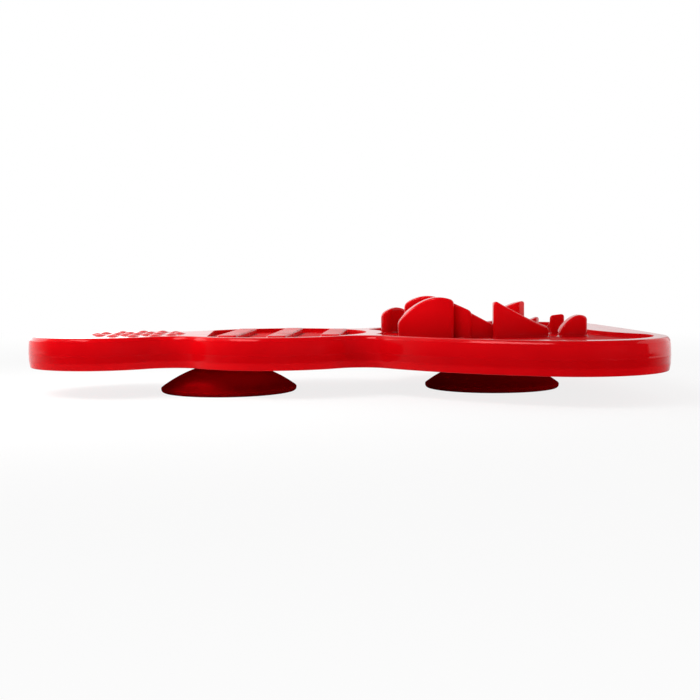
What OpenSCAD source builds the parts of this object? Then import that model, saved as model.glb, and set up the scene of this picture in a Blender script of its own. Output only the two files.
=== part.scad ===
// Treat dispensing lick toy: a lobed rubber lick mat on two plug-in suction cups.
// Millimetres, +Z up. The origin is on the floor under the middle of the mat's length.

/* [Mat outline] */
// Overall length of the mat along X
mat_length = 210; // [180:1:240]
// Overall width of the mat across the base lobe
base_width = 140; // [124:1:156]
// Radius of the small lobe at the neck end
neck_lobe_r = 25.5; // [23:0.5:28]
// Radius of the middle lobe
middle_lobe_r = 34; // [31:0.5:37]
// Middle lobe centre as a share of the length, from the neck end
middle_lobe_at = 0.405; // [0.39:0.005:0.42]
// Radius of the two rounded corners of the base lobe
base_corner_r = 30.5; // [26:0.5:35]
// Radius of the long sides of the base lobe
base_side_r = 120; // [100:1:150]
// Direction in which the side arc meets the corner arc
base_side_angle = 115; // [110:1:120]
// How far the end of the base lobe bows out
base_end_bow = 0.8; // [0.6:0.1:3]
// Radius of the hollow waist beside the neck lobe
neck_waist_r = 12; // [8:0.5:16]
// Radius of the hollow waist beside the base lobe
base_waist_r = 10; // [7:0.5:14]

/* [Mat rim] */
// Thickness of the mat from its underside to the rim's top
mat_t = 10.6; // [9.6:0.1:13]
// Radius of the rounded upper edge
rim_fillet = 1.5; // [0.8:0.1:2]
// Height of the mould parting line above the underside
parting_h = 4.9; // [4:0.1:6]
// How far the upper wall leans in above the parting line
upper_draft = 0.25; // [0.1:0.05:0.5]
// Height of the sloping strip along the lower edge
lower_strip_h = 2.3; // [1.5:0.1:3]
// How far the lower strip slopes in
lower_strip_in = 0.4; // [0.2:0.05:0.8]

/* [Licking face] */
// Depth of the shallow beds that hold the spread
bed_depth = 1.5; // [1:0.1:1.8]
// Width of the level lip round the base bed
base_lip = 8; // [6:0.5:11]
// Width of the level ridge left round the middle lobe, beside the base bed
bed_ridge = 3; // [1:0.5:5]
// Width of the level lip round the middle bed
middle_lip = 3.2; // [2.6:0.2:8]
// How far the middle bed reaches from the lobe's centre towards the neck
middle_bed_reach = 23; // [21:0.5:25]
// Number of slanted bars in the middle bed
bar_count = 3; // [1:1:3]
// Width of each slanted bar
bar_w = 6.5; // [4:0.5:9]
// Distance between the bars along the mat
bar_pitch = 17; // [13:0.5:18]
// How far the middle bar sits from the lobe's centre, towards the base
bar_shift = 3; // [2:0.5:4]
// Lean of the bars from square across the mat
bar_lean = 7; // [0:1:12]
// How far the bars stand above the rim
bar_proud = 0.4; // [0:0.1:1]
// Channel between the ends of the bars and the bed's wall
bar_channel = 2; // [1:0.5:4]
// Width of each nub between the neck lobe and the middle bed
nub_w = 4.2; // [3:0.1:5]
// Height of each nub
nub_h = 0.8; // [0.6:0.1:1.3]
// Distance between nubs
nub_pitch = 7; // [6.4:0.1:9]
// Rings of nubs round the middle nub
nub_rings = 2; // [1:1:2]
// How far the middle nub sits from the neck lobe's centre, towards the base
nub_shift = 11.5; // [0:0.5:12]

/* [Fin rosette] */
// Rosette centre as a share of the length, from the base end
rosette_at = 0.244; // [0.234:0.002:0.256]
// Radius of the circle that the fins stand in
rosette_r = 36; // [32:0.5:38]
// Thickness of each fin
fin_t = 5; // [3.5:0.1:5.5]
// Height of the tallest fin above the rim
fin_h = 12.3; // [8:0.1:16]

/* [Suction cups] */
// Neck end cup position as a share of the length, from the neck end
neck_cup_at = 0.324; // [0.315:0.001:0.335]
// Base end cup position as a share of the length, from the base end
base_cup_at = 0.236; // [0.225:0.001:0.245]
// Width of a cup across its lip
cup_w = 47; // [42:0.5:54]
// Height of the mat's underside above the floor
cup_h = 9.4; // [8.6:0.1:11]
// Width of the cup's top where it meets the mat
cup_top_w = 19; // [18:0.5:24]
// Thickness of the cup's wall over its crown
cup_crown_t = 2.7; // [2.2:0.1:3]
// Width of the flat lip that seals on the floor
cup_lip_w = 1; // [0.6:0.1:1.6]
// Height of the lip's upright outer edge
cup_lip_h = 1.5; // [0.8:0.1:2]

/* [Sockets] */
// Width of the plug's stem
stem_w = 10; // [8:0.1:12]
// Width of the plug's button
button_w = 16; // [14.5:0.1:18]
// Thickness of the plug's button
button_t = 2.4; // [1.8:0.1:2.8]
// Thickness of the mat under the button
socket_web = 2.8; // [2.2:0.1:3.2]
// Radial running clearance of the stem in the mat
stem_gap = 0.05; // [0.02:0.01:0.1]
// Clearance all round the button
button_gap = 0.35; // [0.3:0.01:0.5]
// Clearance between the cup's shoulder and the mat
shoulder_gap = 0.05; // [0.02:0.01:0.1]

/* [Hidden] */
$fn = 72;
rubber_red = [0.80, 0.02, 0.04];
cup_red = [0.55, 0.01, 0.03];
half_l = mat_length / 2;

// Positions along the mat
function along(share) = (share - 0.5) * mat_length;
middle_x = along(middle_lobe_at);
middle_bed_r = middle_lobe_r - middle_lip;
rosette_x = along(1 - rosette_at);
neck_x = neck_lobe_r - half_l;
neck_cup_x = along(neck_cup_at);
base_cup_x = along(1 - base_cup_at);

// Centre that touches two circles from outside, on the +Y side
function beside(a, ra, b, rb) =
    let (d = norm(b - a), u = (b - a) / d,
         s = (ra * ra - rb * rb + d * d) / (2 * d),
         h = sqrt(ra * ra - s * s))
    a + s * u + h * [-u.y, u.x];
function bearing(a, b) = atan2(b.y - a.y, b.x - a.x);

// Arc centres of the +Y half of the outline
neck_c = [neck_x, 0];
middle_c = [middle_x, 0];
corner_c = [half_l - base_corner_r - base_end_bow, base_width / 2 - base_corner_r];
side_c = corner_c
    - (base_side_r - base_corner_r) * [cos(base_side_angle), sin(base_side_angle)];
corner_in = corner_c.x - half_l;
end_r = (pow(base_corner_r, 2) - pow(corner_in, 2) - pow(corner_c.y, 2))
    / (2 * (corner_in + base_corner_r));
end_c = [half_l - end_r, 0];
waist_1 = beside(neck_c, neck_lobe_r + neck_waist_r, middle_c, middle_lobe_r + neck_waist_r);
waist_2 = beside(middle_c, middle_lobe_r + base_waist_r, side_c, base_side_r + base_waist_r);

// Each arc: centre, radius, start angle, end angle, +1 bulging out or -1 hollow
ARCS = [
    [neck_c, neck_lobe_r, 180, bearing(neck_c, waist_1), 1],
    [waist_1, neck_waist_r, bearing(waist_1, neck_c), bearing(waist_1, middle_c), -1],
    [middle_c, middle_lobe_r, bearing(middle_c, waist_1), bearing(middle_c, waist_2), 1],
    [waist_2, base_waist_r, bearing(waist_2, middle_c), bearing(waist_2, side_c), -1],
    [side_c, base_side_r, bearing(side_c, waist_2), base_side_angle, 1],
    [corner_c, base_corner_r, base_side_angle, bearing(end_c, corner_c), 1],
    [end_c, end_r, bearing(end_c, corner_c), 0, 1]
];
ARC_STEPS = [9, 6, 8, 6, 6, 9, 2];

// Points of the +Y half outline, moved in by an inset
function arc_points(arc, steps, inset) =
    [for (i = [0 : steps - 1])
        let (a = arc[2] + (arc[3] - arc[2]) * i / steps)
        arc[0] + (arc[1] - arc[4] * inset) * [cos(a), sin(a)]];
function half_outline(inset, first) =
    concat(
        [for (i = [first : len(ARCS) - 1]) each arc_points(ARCS[i], ARC_STEPS[i], inset)],
        [[half_l - inset, 0]]
    );
function other_half(points, last) =
    [for (i = [len(points) - 2 : -1 : last]) [points[i].x, -points[i].y]];

// Rim cross-section: inset from the widest line and height above the underside
rim_top_z = mat_t - rim_fillet;
RIM = concat(
    [[1.8 * lower_strip_in, 0], [lower_strip_in, 0.15 * lower_strip_h],
     [lower_strip_in / 6, lower_strip_h], [0, parting_h]],
    [for (a = [0 : 22.5 : 90])
        [upper_draft + rim_fillet * (1 - cos(a)), rim_top_z + rim_fillet * sin(a)]]
);

// Solid mat before anything is cut or raised, ring by ring up the rim
module mat_blank() {
    half = len(half_outline(0, 0)) - 1;
    count = 2 * half;
    top = (len(RIM) - 1) * count;
    rings = [for (p = RIM)
        let (side = half_outline(p[0], 0))
        for (q = concat(side, other_half(side, 1))) [q.x, q.y, p[1]]];
    walls = [for (k = [0 : len(RIM) - 2], j = [0 : count - 1])
        let (n = (j + 1) % count)
        [k * count + j, k * count + n, (k + 1) * count + n, (k + 1) * count + j]];
    upper = [for (i = [0 : half - 1])
        [i, i + 1, (count - i - 1) % count, (count - i) % count]];
    caps = [for (f = upper) each [
        [for (v = (f[2] == f[1]) ? [f[0], f[1], f[3]] : (f[3] == f[0]) ? [f[0], f[1], f[2]] : f)
            top + v],
        [for (v = (f[2] == f[1]) ? [f[3], f[1], f[0]] : (f[3] == f[0]) ? [f[2], f[1], f[0]]
            : [f[3], f[2], f[1], f[0]]) v]
    ]];
    polyhedron(rings, concat(walls, caps));
}

// Bed of the base lobe: the outline moved in by the lip, ending at the middle lobe
module base_bed() {
    points = half_outline(base_lip, 4);
    translate([0, 0, mat_t - bed_depth])
        linear_extrude(bed_depth + 1)
            difference() {
                polygon(concat(points, other_half(points, 0)));
                translate(middle_c)
                    circle(r = middle_lobe_r + bed_ridge, $fn = 120);
            }
}

// Plan of the middle bed, cut off towards the neck and moved in by an inset
module middle_bed_plan(inset) {
    intersection() {
        circle(r = middle_bed_r - inset, $fn = 96);
        translate([inset - middle_bed_reach, -middle_lobe_r])
            square(2 * middle_lobe_r);
    }
}

// Bed of the middle lobe
module middle_bed() {
    translate([middle_x, 0, mat_t - bed_depth])
        linear_extrude(bed_depth + 1)
            middle_bed_plan(0);
}

// Slanted bars across the middle bed
module bars() {
    first = bar_shift - bar_pitch * (bar_count - 1) / 2;
    translate([middle_x, 0, mat_t - bed_depth - 0.5])
        intersection() {
            for (i = [0 : bar_count - 1])
                translate([first + i * bar_pitch, 0, 0])
                    rotate([0, 0, -bar_lean])
                        translate([-bar_w / 2, -middle_lobe_r, 0])
                            cube([bar_w, 2 * middle_lobe_r, bed_depth + bar_proud + 0.5]);
            linear_extrude(2 * mat_t)
                middle_bed_plan(bar_channel);
        }
}

// Nubs between the neck lobe and the middle bed, in rings round a middle nub
module nubs() {
    ball_r = (nub_w * nub_w / 4 + nub_h * nub_h) / (2 * nub_h);
    translate([neck_x + nub_shift, 0, mat_t + nub_h - ball_r]) {
        sphere(r = ball_r);
        for (ring = [1 : nub_rings])
            for (i = [0 : 6 * ring - 1])
                rotate([0, 0, i * 60 / ring])
                    translate([ring * nub_pitch, 0, 0])
                        sphere(r = ball_r);
    }
}

// Fins of the rosette. Each row: arc centre x and y from the rosette's centre, arc radius,
// start and end angle of the wall, direction in which its top rises, where the rise starts
// and ends along that direction, low and high height above the rim, and the shape of the
// rise: 1 or more is a power, less than 1 is a dome that peaks at that share of the rise.
// The lengths are for a rosette of radius 36 whose tallest fin is 12.3
FINS = [
    [-14, 2, 24, 222, 267, 0, -34.5, -12.7, 2.2, 12.2, 0.656],
    [-0.6, 9, 32, 267, 302, 180, -20, 1.2, 1.2, 10.6, 1.3],
    [21.5, -5, 15, 266.5, 303, 0, 20.2, 31.6, 0.2, 5.8, 0.655],
    [-9.2, -15.5, 6, 205, 269, 180, 9, 15.2, 7.3, 10.25, 1],
    [-4.9, -37.5, 18, 74, 110.5, 180, 0, 9.06, 1.88, 6.75, 1],
    [-16.7, 19.5, 20, 235, 277, 0, -30.7, -14.2, 8, 12.3, 0.576],
    [2.2, -4.9, 15, 41, 78, 0, 2, 15, 2.4, 10, 0.99],
    [-4.8, 4, 30, -19, 4, 270, -5, 6, 1.4, 5.8, 1],
    [-19, -2, 22, 94, 138, 0, -38, -19, 3.6, 7.9, 0.395],
    [-1, 7, 19, 62, 112, 0, -9, 10, 0.6, 2.6, 1],
    [13.6, 7.1, 20, 59, 90, 0, 15, 23.2, 0.8, 3.5, 1.5]
];
RAMP_STEPS = 10;
plan_scale = rosette_r / 36;
rise_scale = fin_h / 12.3;
fin_root = bed_depth + 0.5;
fin_reach = 1.25 * rosette_r;

// Height of a fin's top at a share of its rise
function ramp(row, s) =
    let (shape = row[10], low = row[8], high = row[9],
         lift = (shape < 1) ? 1 - pow((s - shape) / shape, 2) : pow(s, shape))
    rise_scale * (low + (high - low) * lift);

// One fin: a curved wall cut along its top to a ramp
module fin(row) {
    rise = row[7] - row[6];
    slope = [for (i = [0 : RAMP_STEPS])
        [plan_scale * (row[6] + rise * i / RAMP_STEPS), ramp(row, i / RAMP_STEPS)]];
    side = concat(
        [[-fin_reach, -fin_root], [-fin_reach, ramp(row, 0)]],
        slope,
        [[fin_reach, ramp(row, 1)], [fin_reach, -fin_root]]
    );
    intersection() {
        translate([plan_scale * row[0], plan_scale * row[1], -fin_root])
            rotate([0, 0, row[3]])
                rotate_extrude(angle = row[4] - row[3])
                    translate([plan_scale * row[2] - fin_t / 2, 0])
                        square([fin_t, fin_root + 1.5 * fin_h]);
        rotate([0, 0, row[5]])
            rotate([90, 0, 0])
                linear_extrude(2 * fin_reach, center = true)
                    polygon(side);
    }
}

// The whole rosette, standing in the base bed
module rosette() {
    translate([rosette_x, 0, mat_t])
        for (row = FINS)
            fin(row);
}

// Undercut socket for one cup's plug, open at the mat's underside
module socket(x) {
    translate([x, 0, 0]) {
        translate([0, 0, -1])
            cylinder(d = stem_w + 2 * stem_gap, h = socket_web + 2);
        translate([0, 0, socket_web])
            cylinder(d = button_w + 2 * button_gap, h = button_t + 2 * button_gap);
    }
}

// Rubber mat: rim, beds, bars, nubs, fins and sockets in one moulding
module lick_mat() {
    color(rubber_red)
        translate([0, 0, cup_h])
            difference() {
                union() {
                    difference() {
                        mat_blank();
                        base_bed();
                        middle_bed();
                    }
                    bars();
                    nubs();
                    rosette();
                }
                socket(neck_cup_x);
                socket(base_cup_x);
            }
}

// Suction cup profile: dome, lip, stem and button
function dome(r_in, z_in, r_out, z_out, bulge, steps) =
    [for (i = [0 : steps])
        let (s = i / steps, b = bulge * 4 * s * (1 - s))
        [r_in + (r_out - r_in) * s + b * 0.45, z_in + (z_out - z_in) * s + b * 0.9]];

module suction_cup(x) {
    lip_r = cup_w / 2;
    seat_z = cup_h - shoulder_gap;
    button_z = cup_h + socket_web + button_gap;
    edge = 0.8 * cup_lip_w;
    outer = dome(cup_top_w / 2, seat_z - edge, lip_r, cup_lip_h, cup_w / 67, 8);
    inner = dome(lip_r - 1.6 * cup_lip_w, 0, cup_top_w / 9.5, seat_z - cup_crown_t, cup_w / 52, 8);
    color(cup_red)
        translate([x, 0, 0])
            rotate_extrude()
                polygon(concat(
                    [[0, button_z + button_t], [button_w / 2 - edge, button_z + button_t],
                     [button_w / 2, button_z + button_t - edge], [button_w / 2, button_z],
                     [stem_w / 2, button_z], [stem_w / 2, seat_z],
                     [cup_top_w / 2 - edge, seat_z]],
                    outer,
                    [[lip_r - 0.6 * cup_lip_w, 0]],
                    inner,
                    [[0, seat_z - cup_crown_t]]
                ));
}

module neck_suction_cup() {
    suction_cup(neck_cup_x);
}

module base_suction_cup() {
    suction_cup(base_cup_x);
}

lick_mat();
neck_suction_cup();
base_suction_cup();
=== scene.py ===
"""Visible surfaces of a treat dispensing lick toy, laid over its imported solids.

A lobed rubber lick mat with a rosette of ramped fins stands on two plug-in suction cups.
Plan layouts are worked out in millimetres and turned into metres when a mesh is made.
"""

import math

import bmesh
import bpy
import numpy as np
from bpy.props import FloatProperty, FloatVectorProperty, IntProperty, PointerProperty
from bpy.types import Operator, Panel, PropertyGroup
from mathutils import Matrix, Vector
from mathutils.geometry import delaunay_2d_cdt
from mathutils.kdtree import KDTree


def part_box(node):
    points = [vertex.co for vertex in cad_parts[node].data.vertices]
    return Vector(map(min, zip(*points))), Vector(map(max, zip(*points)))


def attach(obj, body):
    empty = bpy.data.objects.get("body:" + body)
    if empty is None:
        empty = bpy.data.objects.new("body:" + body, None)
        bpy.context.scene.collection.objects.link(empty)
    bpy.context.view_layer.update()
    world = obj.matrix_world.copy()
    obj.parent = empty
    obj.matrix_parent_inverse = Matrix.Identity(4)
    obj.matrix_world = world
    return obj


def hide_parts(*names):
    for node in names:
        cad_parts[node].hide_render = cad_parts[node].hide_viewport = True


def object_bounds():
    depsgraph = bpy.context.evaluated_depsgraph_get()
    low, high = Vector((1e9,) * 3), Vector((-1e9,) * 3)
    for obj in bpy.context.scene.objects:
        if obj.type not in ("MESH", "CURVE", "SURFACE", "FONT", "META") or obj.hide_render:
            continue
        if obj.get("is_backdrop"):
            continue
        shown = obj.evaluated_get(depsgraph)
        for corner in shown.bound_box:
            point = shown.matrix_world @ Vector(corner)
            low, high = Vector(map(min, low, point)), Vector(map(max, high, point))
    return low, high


bl_info = {
    "name": "Lick toy surfaces",
    "version": (1, 0, 0),
    "blender": (4, 5, 0),
    "location": "View3D > Sidebar > Lick toy",
    "description": "Builds the moulded surfaces of a rubber lick mat and its suction cups",
    "category": "Object",
}

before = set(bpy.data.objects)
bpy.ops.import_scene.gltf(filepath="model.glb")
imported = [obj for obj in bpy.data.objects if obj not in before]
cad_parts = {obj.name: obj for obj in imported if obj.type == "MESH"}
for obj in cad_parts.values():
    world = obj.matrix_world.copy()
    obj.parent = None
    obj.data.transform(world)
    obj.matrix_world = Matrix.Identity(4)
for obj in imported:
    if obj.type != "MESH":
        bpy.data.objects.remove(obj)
CAD_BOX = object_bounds()

MM = 0.001
MAT_LOW, MAT_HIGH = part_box("lick_mat")
CUP_LOW, CUP_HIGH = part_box("neck_suction_cup")
CUP_BODIES = {"neck_suction_cup": "neck_cup", "base_suction_cup": "base_cup"}

# Fins of the rosette. Each row: arc centre x and y from the rosette's centre, arc radius,
# start and end angle, direction of rise, where the rise starts and ends along it, low and
# high height above the rim, and the shape of the rise, as a dome below 1 or a power from 1
FIN_ROWS = (
    (-14, 2, 24, 222, 267, 0, -34.5, -12.7, 2.2, 12.2, 0.656),
    (-0.6, 9, 32, 267, 302, 180, -20, 1.2, 1.2, 10.6, 1.3),
    (21.5, -5, 15, 266.5, 303, 0, 20.2, 31.6, 0.2, 5.8, 0.655),
    (-9.2, -15.5, 6, 205, 269, 180, 9, 15.2, 7.3, 10.25, 1),
    (-4.9, -37.5, 18, 74, 110.5, 180, 0, 9.06, 1.88, 6.75, 1),
    (-16.7, 19.5, 20, 235, 277, 0, -30.7, -14.2, 8, 12.3, 0.576),
    (2.2, -4.9, 15, 41, 78, 0, 2, 15, 2.4, 10, 0.99),
    (-4.8, 4, 30, -19, 4, 270, -5, 6, 1.4, 5.8, 1),
    (-19, -2, 22, 94, 138, 0, -38, -19, 3.6, 7.9, 0.395),
    (-1, 7, 19, 62, 112, 0, -9, 10, 0.6, 2.6, 1),
    (13.6, 7.1, 20, 59, 90, 0, 15, 23.2, 0.8, 3.5, 1.5),
)


def length(name, description, value_mm):
    """A length property whose default is given in millimetres."""
    return FloatProperty(
        name=name, description=description, default=value_mm * MM, unit="LENGTH", precision=5
    )


def share(name, description, value):
    """A property between nothing and the whole of something."""
    return FloatProperty(
        name=name, description=description, default=value, min=0, max=1, subtype="FACTOR"
    )


def turn(name, description, degrees):
    """An angle property whose default is given in degrees."""
    return FloatProperty(
        name=name, description=description, default=math.radians(degrees), subtype="ANGLE"
    )


def colour(name, description, value):
    """A colour property, in linear red, green and blue."""
    return FloatVectorProperty(
        name=name, description=description, default=value, size=3, min=0, max=1, subtype="COLOR"
    )


class LickMatSizes(PropertyGroup):
    """Sizes of the mat's outline, rim and licking face."""

    long: length("Length", "Overall length of the mat", (MAT_HIGH.x - MAT_LOW.x) / MM)
    wide: length("Width", "Overall width across the base lobe", (MAT_HIGH.y - MAT_LOW.y) / MM)
    underside: length("Underside", "Height of the mat's underside", MAT_LOW.z / MM)
    thick: length("Thickness", "Mat thickness from underside to rim", 10.6)
    neck_r: length("Neck lobe", "Radius of the small lobe at the neck end", 25.5)
    middle_r: length("Middle lobe", "Radius of the middle lobe", 34)
    middle_at: share("Middle lobe place", "Middle lobe centre along the length", 0.405)
    corner_r: length("Base corner", "Radius of the base lobe's rounded corners", 30.5)
    side_r: length("Base side", "Radius of the base lobe's long sides", 120)
    side_turn: turn("Side turn", "Direction in which side and corner arcs meet", 115)
    end_bow: length("End bow", "How far the base end bows out", 0.8)
    neck_waist_r: length("Neck waist", "Radius of the hollow beside the neck lobe", 12)
    base_waist_r: length("Base waist", "Radius of the hollow beside the base lobe", 10)
    rim_fillet: length("Rim rounding", "Radius of the rounded upper edge", 1.5)
    rim_flat: length("Rim flat", "Width of the small flat in the rounded upper edge", 0.6)
    flat_turn: turn("Flat turn", "How far the small flat faces up", 30)
    parting: length("Parting line", "Height of the mould parting line", 4.9)
    parting_proud: length("Parting flash", "How far the parting line stands proud", 0.03)
    draft: length("Upper draft", "How far the upper wall leans in", 0.25)
    strip_h: length("Lower strip", "Height of the sloping lower strip", 2.3)
    strip_in: length("Strip slope", "How far the lower strip slopes in", 0.4)
    rim_waver: length("Rim waver", "Unevenness of the moulded upper edge", 0.05)
    bed_depth: length("Bed depth", "Depth of the shallow beds", 1.5)
    base_lip: length("Base lip", "Width of the level lip round the base bed", 5.5)
    end_pad: length("End pad", "Width of the level pad at the middle of the base end", 16.5)
    end_pad_r: length("End pad edge", "Radius of the end pad's edge", 71)
    bed_ridge: length("Bed ridge", "Ridge between the middle lobe and the base bed", 3)
    bed_corner: length("Bed corner", "Radius of the base bed's sharp corners", 4)
    middle_lip: length("Middle lip", "Width of the level lip round the middle bed", 3.2)
    middle_reach: length("Bed reach", "Reach of the middle bed towards the neck", 23)
    middle_corner: length("Cut corner", "Radius of the middle bed's two corners", 3)
    neck_cup_at: share("Neck cup place", "Neck cup's socket along the length", 0.324)
    base_cup_at: share("Base cup place", "Base cup's socket along the length", 0.764)
    socket_w: length("Socket hole", "Width of the hole for a plug's stem", 10.1)
    button_w: length("Button room", "Width of the room for a plug's button", 16.7)
    button_h: length("Button height", "Height of the room for a plug's button", 3.1)
    socket_web: length("Socket web", "Mat thickness under a plug's button", 2.8)


class LickFinSizes(PropertyGroup):
    """Sizes of the rosette's curved fins."""

    centre_at: share("Rosette place", "Rosette centre along the mat's length", 0.756)
    thick: length("Thickness", "Thickness of each fin", 5)
    edge: length("Top rounding", "Radius of a fin's rounded top edge", 0.9)
    corner: length("End rounding", "Radius of a fin's upright end corners", 1.3)
    root: length("Root fillet", "Radius of the fillet at a fin's root", 0.7)


class LickTextureSizes(PropertyGroup):
    """Sizes of the bars and nubs that hold the spread."""

    bar_count: IntProperty(name="Bars", description="Bars in the middle bed", default=3, min=1)
    bar_w: length("Bar width", "Width of each slanted bar", 6.5)
    bar_pitch: length("Bar pitch", "Distance between bars along the mat", 17)
    bar_shift: length("Bar shift", "Shift of the middle bar towards the base", 3)
    bar_lean: turn("Bar lean", "Lean of the bars from square across the mat", 7)
    bar_proud: length("Bar height", "How far the bars stand above the rim", 0.4)
    bar_channel: length("Bar channel", "Channel between bars and the bed's wall", 2)
    bar_edge: length("Bar rounding", "Radius of a bar's rounded edges", 0.6)
    nub_w: length("Nub width", "Width of each nub over its foot", 5)
    nub_h: length("Nub height", "Height of each nub", 0.65)
    nub_pitch: length("Nub pitch", "Distance between rings of nubs", 7)
    nub_shift: length("Nub shift", "Shift of the nubs from the neck lobe towards the base", 11.5)


class LickCupSizes(PropertyGroup):
    """Sizes of a plug-in suction cup."""

    wide: length("Cup width", "Width across the sealing lip", (CUP_HIGH.x - CUP_LOW.x) / MM)
    shoulder: length("Shoulder", "Height of the shoulder under the mat", 9.35)
    top_w: length("Top width", "Width of the cup where it meets the mat", 19)
    crown_t: length("Crown", "Wall thickness over the crown", 2.7)
    lip_w: length("Lip", "Width of the flat sealing lip", 1)
    lip_h: length("Lip edge", "Height of the lip's outer edge", 1.5)
    stem_w: length("Stem", "Width of the plug's stem", 10)
    button_w: length("Button", "Width of the plug's button", 16)
    button_t: length("Button thickness", "Thickness of the plug's button", 2.4)
    button_low: length("Button height", "Height of the button's underside", 12.55)


class LickFinish(PropertyGroup):
    """Colours of the rubbers, some of them painted shade and painted light."""

    mat_red: colour("Mat red", "Red of the mat's rubber", (0.64, 0.0012, 0.0035))
    mat_deep: colour("Deep mat red", "Deeper red that drifts through the mat",
                     (0.53, 0.0008, 0.003))
    # Painted shade: a darker red mixed in by height, as a band along the parting line and at the
    # fins' feet
    mat_shade: colour("Mat shade", "Shade at the parting line and the fins' feet",
                      (0.30, 0.0004, 0.0015))
    # Painted light: the fins' reds are the mat's reds made brighter, to light up fins that the
    # lamps leave dark
    fin_red: colour("Fin red", "Brighter red of the thin fins", (0.78, 0.0016, 0.0045))
    fin_deep: colour("Deep fin red", "Deeper red that drifts through the fins",
                     (0.68, 0.001, 0.0035))
    # Partly the cups' own dark red, partly painted shade: kept dark so that a lamp does not light
    # up the lips
    cup_red: colour("Cup red", "Dark red of the suction cups", (0.14, 0.0003, 0.001))
    cup_deep: colour("Deep cup red", "Deeper red that drifts through the cups",
                     (0.12, 0.0002, 0.0009))
    # Painted light: the cups turn to this lighter red towards the mat, where the mat shades them
    cup_crown: colour("Cup crown", "Red of the cups towards the mat", (0.62, 0.0008, 0.003))
    shine: colour("Shine", "Tint of what the rubbers mirror square on", (1, 0.30, 0.32))


class LickStage(PropertyGroup):
    """The camera's place and the light levels."""

    eye: FloatVectorProperty(
        name="Camera place", description="Where the camera stands", size=3,
        default=(-0.0183, -0.3845, 0.0395), subtype="TRANSLATION", unit="LENGTH",
    )
    yaw: turn("Yaw", "Camera turn about the vertical", -3.52)
    pitch: turn("Pitch", "Camera tilt, negative looks down", -3.85)
    roll: turn("Roll", "Camera roll about its line of sight", 0.50)
    lens: FloatProperty(
        name="Lens", description="Focal length on a 36 mm sensor", default=56.62, unit="CAMERA"
    )
    ambient: FloatProperty(
        name="Ambient", description="Level of the even light from all round", default=0.465, min=0
    )
    floor_shadow: share("Shadow", "How much of the floor's shade the camera sees", 0.18)


# Plan geometry of the mat

def polar(angle):
    """Unit vector in a direction."""
    return Vector((math.cos(angle), math.sin(angle)))


def bearing(start, end):
    """Direction from one point to another."""
    return math.atan2(end.y - start.y, end.x - start.x)


def beside(a, a_reach, b, b_reach):
    """The point at two given distances from two others, on the +Y side."""
    gap = (b - a).length
    along = (b - a) / gap
    shift = (a_reach**2 - b_reach**2 + gap**2) / (2 * gap)
    rise = math.sqrt(a_reach**2 - shift**2)
    return a + shift * along + rise * Vector((-along.y, along.x))


class Arc:
    """Part of a circle, run clockwise, bulging out (+1) or hollow (-1)."""

    LEAST_STEPS = 4

    def __init__(self, centre, radius, start, end, sense):
        self.centre, self.radius, self.sense = centre, radius, sense
        self.start, self.end = start, end

    def points(self, inset, spacing):
        """Points from the start up to just before the end, moved in by an inset."""
        steps = max(self.LEAST_STEPS, round(abs(self.end - self.start) * self.radius / spacing))
        reach = self.radius - self.sense * inset
        for i in range(steps):
            yield self.centre + reach * polar(self.start + (self.end - self.start) * i / steps)


def mirrored(half):
    """A closed loop from a half that starts and ends on the mat's middle line."""
    return half + [Vector((p.x, -p.y)) for p in reversed(half[1:-1])]


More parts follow.
